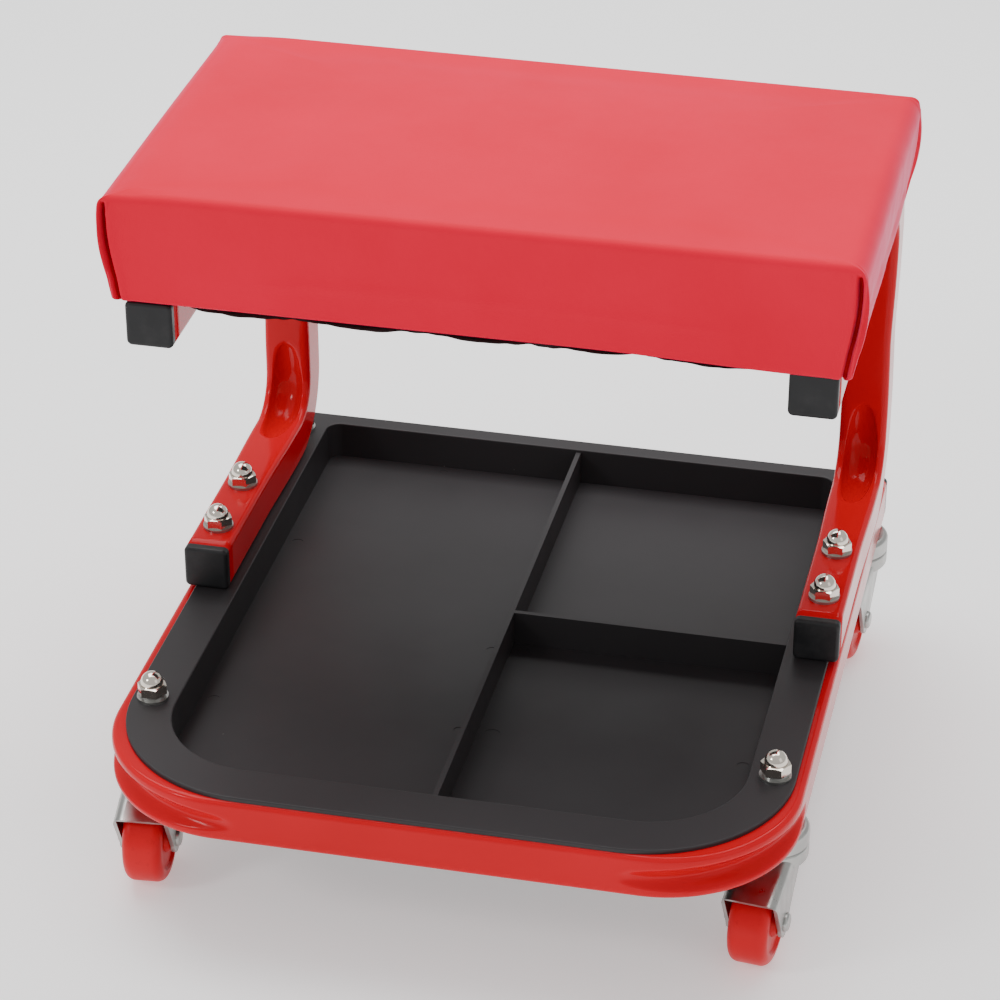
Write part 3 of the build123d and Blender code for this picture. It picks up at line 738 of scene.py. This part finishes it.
def dust_cover(cushion_piece):
    """Non-woven sheet stapled under the seat, sagging between its staples."""
    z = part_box("seat_dust_cover")[0][2] + 0.45 * MM
    arm = [abs(value) for value in (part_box("right_leg")[0][0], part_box("right_leg")[1][0])]
    step = 4 * MM
    columns = int(2 * COVER_HALF.x / step)
    rows = int(2 * COVER_HALF.y / step)
    dice = random.Random(7)
    verts, held = [], []
    for row in range(rows + 1):
        for column in range(columns + 1):
            x = -COVER_HALF.x + 2 * COVER_HALF.x * column / columns
            y = -COVER_HALF.y + 2 * COVER_HALF.y * row / rows
            border = row in (0, rows) or column in (0, columns)
            at_staple = row in (1, rows - 1) and any(abs(x - s * MM) < 3.2 * MM for s in STAPLE_X)
            over_arm = arm[0] - 3 * MM < abs(x)
            held.append(at_staple or over_arm)
            ragged = dice.uniform(-1.1, 1.1) * MM if border else 0.0
            verts.append((x, SEAT_CENTRE.y + y + ragged, z))
    faces = []
    for row in range(rows):
        for column in range(columns):
            a = row * (columns + 1) + column
            faces.append((a, a + 1, a + columns + 2, a + columns + 1))
    sheet = mesh_object("dust_cover", verts, faces)
    group = sheet.vertex_groups.new(name="held")
    group.add([index for index, stuck in enumerate(held) if stuck], 1.0, "ADD")
    cloth = sheet.modifiers.new("cloth", "CLOTH")
    cloth.settings.vertex_group_mass = "held"
    cloth.settings.shrink_min = -0.014
    cloth.settings.mass = 0.05
    cloth.settings.tension_stiffness = 30
    cloth.settings.bending_stiffness = 0.8
    bpy.context.view_layer.objects.active = sheet
    for number in range(1, 31):
        bpy.context.scene.frame_set(number)
    bpy.ops.object.modifier_apply(modifier="cloth")
    bpy.context.scene.frame_set(1)
    finish_piece(sheet, MATERIALS["dust_cloth"], ["seat_dust_cover"])
    smooth = sheet.modifiers.new("smooth", "SUBSURF")
    smooth.levels = smooth.render_levels = 1
    return z


def staples(z):
    """Wire crowns of the staples that hold the dust cover and the hem to the board."""
    wire, half, rise, crown = 0.55 * MM, 5.2 * MM, 1.6 * MM, 0.45 * MM
    down = [(-half, rise), (-half, 0.0), (-half * 0.86, -crown)]
    outline = down + [(-px, pz) for px, pz in reversed(down)]
    verts, faces = [], []
    for sy in (-1, 1):
        for number, x in enumerate(STAPLE_X):
            y = SEAT_CENTRE.y + sy * (COVER_HALF.y - 6 * MM)
            a = 0.22 * sin(number * 2.3 + sy)
            path = []
            for px, pz in outline:
                path.append(Vector((x * MM + px * cos(a), y + px * sin(a), z - 0.3 * MM + pz)))
            first = len(verts)
            across = Vector((-sin(a), cos(a), 0))
            for index, spot in enumerate(path):
                tangent = (path[min(index + 1, len(path) - 1)] - path[max(index - 1, 0)]).normalized()
                up = tangent.cross(across)
                for k in range(8):
                    t = k / 8 * 2 * pi
                    verts.append(spot + across * wire * 0.9 * cos(t) + up * wire * 0.55 * sin(t))
            for index in range(len(path) - 1):
                for k in range(8):
                    p, q = first + index * 8 + k, first + index * 8 + (k + 1) % 8
                    faces.append((p, q, q + 8, p + 8))
    piece = mesh_object("cover_staples", verts, faces)
    finish_piece(piece, MATERIALS["zinc_steel"])


# ---- light, floor, camera -----------------------------------------------------------------
def camera():
    data = bpy.data.cameras.new("camera")
    data.lens = 126.0
    data.sensor_width = 36.0
    data.shift_x = 0.0140
    data.shift_y = 0.1083
    eye = bpy.data.objects.new("camera", data)
    eye.location = (0.3545, -1.5999, 1.1263)
    eye.rotation_euler = (radians(58.0103), radians(0.0872), radians(12.8863))
    bpy.context.scene.collection.objects.link(eye)
    bpy.context.scene.camera = eye


def softbox(name, place, aim, size, power, tint=(1, 1, 1)):
    data = bpy.data.lights.new(name, "AREA")
    data.shape = "RECTANGLE"
    data.size, data.size_y = size
    data.energy = power
    data.color = tint
    lamp = bpy.data.objects.new(name, data)
    lamp.location = place
    lamp.rotation_euler = (Vector(aim) - Vector(place)).to_track_quat("-Z", "Y").to_euler()
    bpy.context.scene.collection.objects.link(lamp)


def studio():
    softbox("overhead", (-0.2, 0.6, 2.0), (0, 0, 0.2), (2.2, 1.6), 50)
    softbox("key", (-1.5, -1.4, 1.5), (0, 0, 0.2), (0.40, 0.40), 9.5)
    softbox("fill", (1.7, -0.9, 1.1), (0, 0, 0.2), (0.9, 1.2), 2)
    world = bpy.data.worlds.new("studio")
    world.use_nodes = True
    world.node_tree.nodes["Background"].inputs["Color"].default_value = (1, 1, 1, 1)
    world.node_tree.nodes["Background"].inputs["Strength"].default_value = 0.68
    bpy.context.scene.world = world
    size = 40.0
    floor = mesh_object("floor", [(sx * size, sy * size, 0) for sx, sy in CORNER_SIGNS], [(0, 1, 2, 3)])
    s = Shader("pale_floor", Roughness=0.9, Specular_IOR_Level=0.1, Emission_Strength=0.45)
    s.bsdf.inputs["Emission Color"].default_value = (1, 1, 1, 1)
    s.colour(s.mix(s.noise(3.0), (0.86, 0.86, 0.86), (0.88, 0.88, 0.88)))
    floor.data.materials.append(s.material)


dress_cad_nodes()
base_tube()
leg_tube("left")
leg_tube("right")
staples(dust_cover(cushion()))
studio()
camera()
